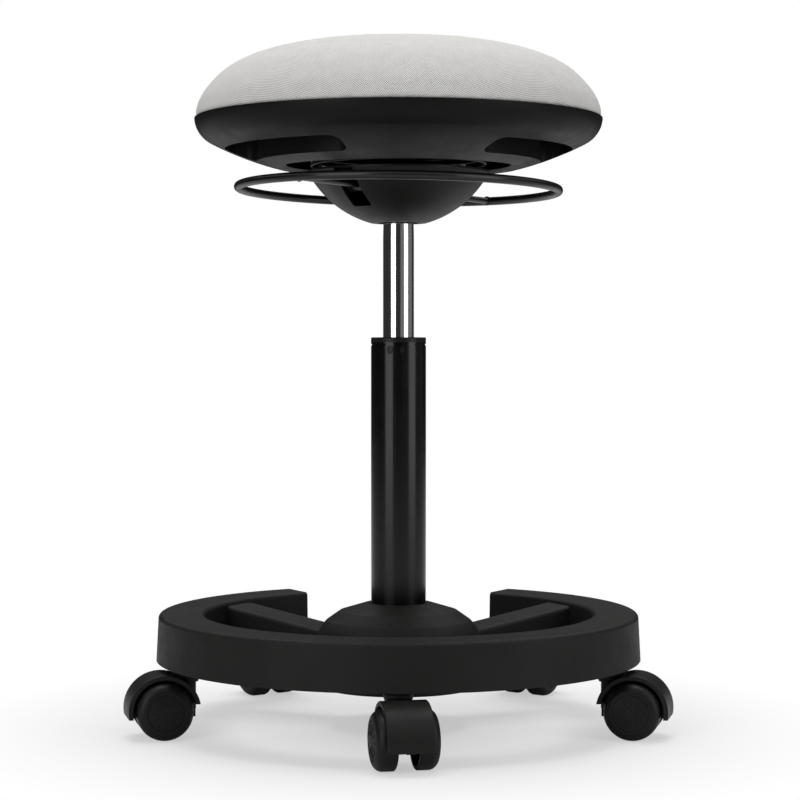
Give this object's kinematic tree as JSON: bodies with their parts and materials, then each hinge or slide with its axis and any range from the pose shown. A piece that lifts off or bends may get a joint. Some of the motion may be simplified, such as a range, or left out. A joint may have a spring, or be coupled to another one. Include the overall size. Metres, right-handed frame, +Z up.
{
  "type": "wobble stool",
  "caption": "Height-adjustable wobble stool: round padded seat that tilts on a sprung ball joint, hand ring for the gas lift, C-shaped foot ring on castors.",
  "frame": {"origin": "on the floor, on the axis of the column", "axes": "+Z up along the column; -Y is the front, where one arm of the base lies; +X to the right seen from the front"},
  "size_m": [0.488, 0.4675, 0.621],
  "materials": {
    "base_plastic": "fine-textured satin black nylon",
    "column_paint": "semi-gloss black powder coat",
    "bush_plastic": "smooth black acetal",
    "zinc_steel": "zinc-plated steel",
    "chrome": "polished chrome",
    "cast_mount": "black-painted pressure die casting",
    "plate_paint": "black e-coat",
    "ring_paint": "semi-gloss black powder coat",
    "spring_paint": "gloss black coated spring wire",
    "cup_plastic": "satin black polypropylene",
    "shell_plastic": "satin black polypropylene",
    "liner_nylon": "natural acetal",
    "rubber": "matt black rubber",
    "board_wood": "raw birch plywood",
    "foam": "moulded cushion foam",
    "seat_fabric": "light warm grey woven mesh",
    "castor_plastic": "satin black nylon",
    "wheel_plastic": "satin black nylon"
  },
  "bodies": {
    "base": {"base_moulding": "base_plastic", "castor_sleeves": "zinc_steel", "column_tube": "column_paint", "column_bush": "bush_plastic", "column_end_plate": "zinc_steel", "bearing_race_lower": "zinc_steel", "castor_stem_1": "zinc_steel", "castor_stem_2": "zinc_steel", "castor_stem_3": "zinc_steel", "castor_stem_4": "zinc_steel", "castor_stem_5": "zinc_steel"},
    "piston_rod": {"piston_rod": "zinc_steel", "piston": "bush_plastic", "retaining_clip": "zinc_steel", "bearing_race_upper": "zinc_steel", "bearing_balls": "zinc_steel", "rubber_buffer": "rubber"},
    "gas_cylinder": {"gas_cylinder": "chrome", "cylinder_seal": "bush_plastic", "tilt_mount": "cast_mount", "lower_spring_plate": "plate_paint", "ball_stud": "zinc_steel", "lever_pivot_pin": "zinc_steel", "spring_cover": "cup_plastic", "cover_screws": "zinc_steel", "wobble_spring": "spring_paint"},
    "hand_ring": {"hand_ring": "ring_paint", "lever_pad": "ring_paint"},
    "valve_pin": {"valve_pin": "zinc_steel"},
    "ball_liner": {"ball_liner": "liner_nylon"},
    "seat": {"ball_socket": "plate_paint", "upper_spring_plate": "plate_paint", "seat_bolts": "zinc_steel", "tee_nuts": "zinc_steel", "seat_board": "board_wood", "seat_shell": "shell_plastic", "shell_screws": "zinc_steel", "seat_foam": "foam", "seat_cover": "seat_fabric"},
    "castor_1": {"castor_housing_1": "castor_plastic", "castor_axle_1": "zinc_steel"},
    "wheel_1_left": {"castor_wheel_1_left": "wheel_plastic"},
    "wheel_1_right": {"castor_wheel_1_right": "wheel_plastic"},
    "castor_2": {"castor_housing_2": "castor_plastic", "castor_axle_2": "zinc_steel"},
    "wheel_2_left": {"castor_wheel_2_left": "wheel_plastic"},
    "wheel_2_right": {"castor_wheel_2_right": "wheel_plastic"},
    "castor_3": {"castor_housing_3": "castor_plastic", "castor_axle_3": "zinc_steel"},
    "wheel_3_left": {"castor_wheel_3_left": "wheel_plastic"},
    "wheel_3_right": {"castor_wheel_3_right": "wheel_plastic"},
    "castor_4": {"castor_housing_4": "castor_plastic", "castor_axle_4": "zinc_steel"},
    "wheel_4_left": {"castor_wheel_4_left": "wheel_plastic"},
    "wheel_4_right": {"castor_wheel_4_right": "wheel_plastic"},
    "castor_5": {"castor_housing_5": "castor_plastic", "castor_axle_5": "zinc_steel"},
    "wheel_5_left": {"castor_wheel_5_left": "wheel_plastic"},
    "wheel_5_right": {"castor_wheel_5_right": "wheel_plastic"}
  },
  "joints": [
    {"name": "seat_swivel", "type": "hinge", "parent": "base", "child": "piston_rod", "pos_m": [0, 0, 0.05], "axis": [0, 0, 1], "continuous": true},
    {"name": "height_slide", "type": "slide", "parent": "piston_rod", "child": "gas_cylinder", "axis": [0, 0, 1], "range_m": [-0.095, 0]},
    {"name": "ring_lift", "type": "hinge", "parent": "gas_cylinder", "child": "hand_ring", "pos_m": [-0.03309, -0.04392, 0.48815], "axis": [-0.7986, 0.6018, 0], "range_deg": [0, 3.5], "stiffness_Nm_per_rad": 30, "springref_deg": -2.86},
    {"name": "valve_press", "type": "slide", "parent": "gas_cylinder", "child": "valve_pin", "axis": [0, 0, -1], "range_m": [0, 0.0035]},
    {"name": "tilt_side", "type": "hinge", "parent": "gas_cylinder", "child": "ball_liner", "pos_m": [0, 0, 0.52], "axis": [0, 1, 0], "range_deg": [-5, 5], "stiffness_Nm_per_rad": 150, "deforming": ["wobble_spring"]},
    {"name": "tilt_front", "type": "hinge", "parent": "ball_liner", "child": "seat", "pos_m": [0, 0, 0.52], "axis": [1, 0, 0], "range_deg": [-5, 5], "stiffness_Nm_per_rad": 150, "deforming": ["wobble_spring"]},
    {"name": "castor_1_swivel", "type": "hinge", "parent": "base", "child": "castor_1", "pos_m": [0, -0.19675, 0.06], "axis": [0, 0, 1], "continuous": true},
    {"name": "wheel_1_left_roll", "type": "hinge", "parent": "castor_1", "child": "wheel_1_left", "pos_m": [0.00457, -0.21827, 0.025], "axis": [0.9781, 0.2079, 0], "continuous": true},
    {"name": "wheel_1_right_roll", "type": "hinge", "parent": "castor_1", "child": "wheel_1_right", "pos_m": [0.00457, -0.21827, 0.025], "axis": [0.9781, 0.2079, 0], "continuous": true},
    {"name": "castor_2_swivel", "type": "hinge", "parent": "base", "child": "castor_2", "pos_m": [0.18712, -0.0608, 0.06], "axis": [0, 0, 1], "continuous": true},
    {"name": "wheel_2_left_roll", "type": "hinge", "parent": "castor_2", "child": "wheel_2_left", "pos_m": [0.20847, -0.06612, 0.025], "axis": [0.2419, 0.9703, 0], "continuous": true},
    {"name": "wheel_2_right_roll", "type": "hinge", "parent": "castor_2", "child": "wheel_2_right", "pos_m": [0.20847, -0.06612, 0.025], "axis": [0.2419, 0.9703, 0], "continuous": true},
    {"name": "castor_3_swivel", "type": "hinge", "parent": "base", "child": "castor_3", "pos_m": [0.11565, 0.15917, 0.06], "axis": [0, 0, 1], "continuous": true},
    {"name": "wheel_3_left_roll", "type": "hinge", "parent": "castor_3", "child": "wheel_3_left", "pos_m": [0.12858, 0.17697, 0.025], "axis": [-0.809, 0.5878, 0], "continuous": true},
    {"name": "wheel_3_right_roll", "type": "hinge", "parent": "castor_3", "child": "wheel_3_right", "pos_m": [0.12858, 0.17697, 0.025], "axis": [-0.809, 0.5878, 0], "continuous": true},
    {"name": "castor_4_swivel", "type": "hinge", "parent": "base", "child": "castor_4", "pos_m": [-0.11565, 0.15917, 0.06], "axis": [0, 0, 1], "continuous": true},
    {"name": "wheel_4_left_roll", "type": "hinge", "parent": "castor_4", "child": "wheel_4_left", "pos_m": [-0.12858, 0.17697, 0.025], "axis": [-0.809, -0.5878, 0], "continuous": true},
    {"name": "wheel_4_right_roll", "type": "hinge", "parent": "castor_4", "child": "wheel_4_right", "pos_m": [-0.12858, 0.17697, 0.025], "axis": [-0.809, -0.5878, 0], "continuous": true},
    {"name": "castor_5_swivel", "type": "hinge", "parent": "base", "child": "castor_5", "pos_m": [-0.18712, -0.0608, 0.06], "axis": [0, 0, 1], "continuous": true},
    {"name": "wheel_5_left_roll", "type": "hinge", "parent": "castor_5", "child": "wheel_5_left", "pos_m": [-0.20847, -0.06612, 0.025], "axis": [0.2419, -0.9703, 0], "continuous": true},
    {"name": "wheel_5_right_roll", "type": "hinge", "parent": "castor_5", "child": "wheel_5_right", "pos_m": [-0.20847, -0.06612, 0.025], "axis": [0.2419, -0.9703, 0], "continuous": true}
  ],
  "couplings": [
    {"joint": "valve_press", "follows": "ring_lift", "m_per_rad": 0.055}
  ]
}
